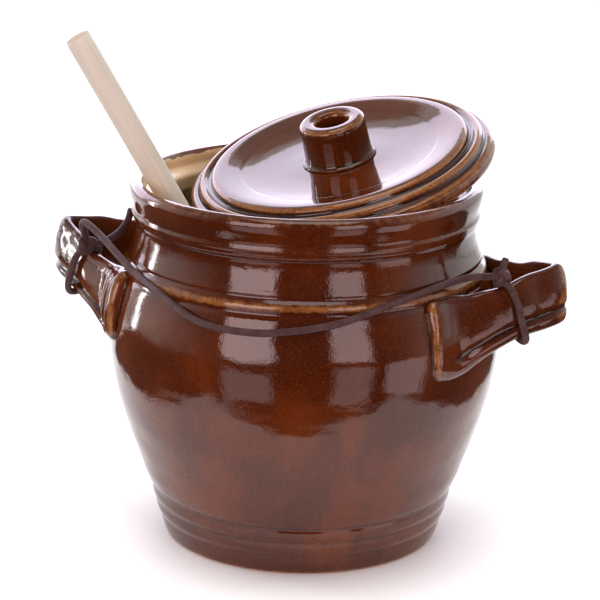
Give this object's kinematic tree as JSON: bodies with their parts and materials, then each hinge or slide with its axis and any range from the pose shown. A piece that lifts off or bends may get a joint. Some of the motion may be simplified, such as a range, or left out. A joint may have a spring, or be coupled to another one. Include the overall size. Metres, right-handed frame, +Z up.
{
  "type": "ceramic crock fermenter",
  "caption": "Lidded stoneware crock with strap handles and a wooden dasher, for fermenting and salting food.",
  "frame": {"origin": "centre of the crock's flat foot", "axes": "+Z up the crock's axis, -Y towards the front, where the cord hangs, and +X to the right"},
  "size_m": [0.3116, 0.237, 0.3126],
  "materials": {
    "brown_glaze": "glossy brown salt glaze, amber where it is thin",
    "bare_wood": "bare, pale and smooth",
    "leather_thong": "dark brown, satin, finely ribbed"
  },
  "bodies": {
    "crock": {"crock_body": "brown_glaze", "handle_left": "brown_glaze", "handle_right": "brown_glaze", "cord_span": "leather_thong", "cord_left_tail": "leather_thong", "cord_left_knot": "leather_thong", "cord_left_loop": "leather_thong", "cord_right_knot": "leather_thong", "cord_right_loop": "leather_thong", "cord_right_tail": "leather_thong"},
    "lid": {"lid": "brown_glaze", "lid_knob": "brown_glaze"},
    "dasher": {"dasher_rod": "bare_wood", "dasher_plate": "bare_wood", "dasher_peg": "bare_wood"}
  },
  "joints": [
    {"name": "lid_lift", "type": "slide", "parent": "crock", "child": "lid", "axis": [0, 0, 1], "range_m": [0, 0.15]},
    {"name": "dasher_slide", "type": "slide", "parent": "crock", "child": "dasher", "axis": [-0.4819, -0.085, 0.8721], "range_m": [0, 0.15]}
  ]
}
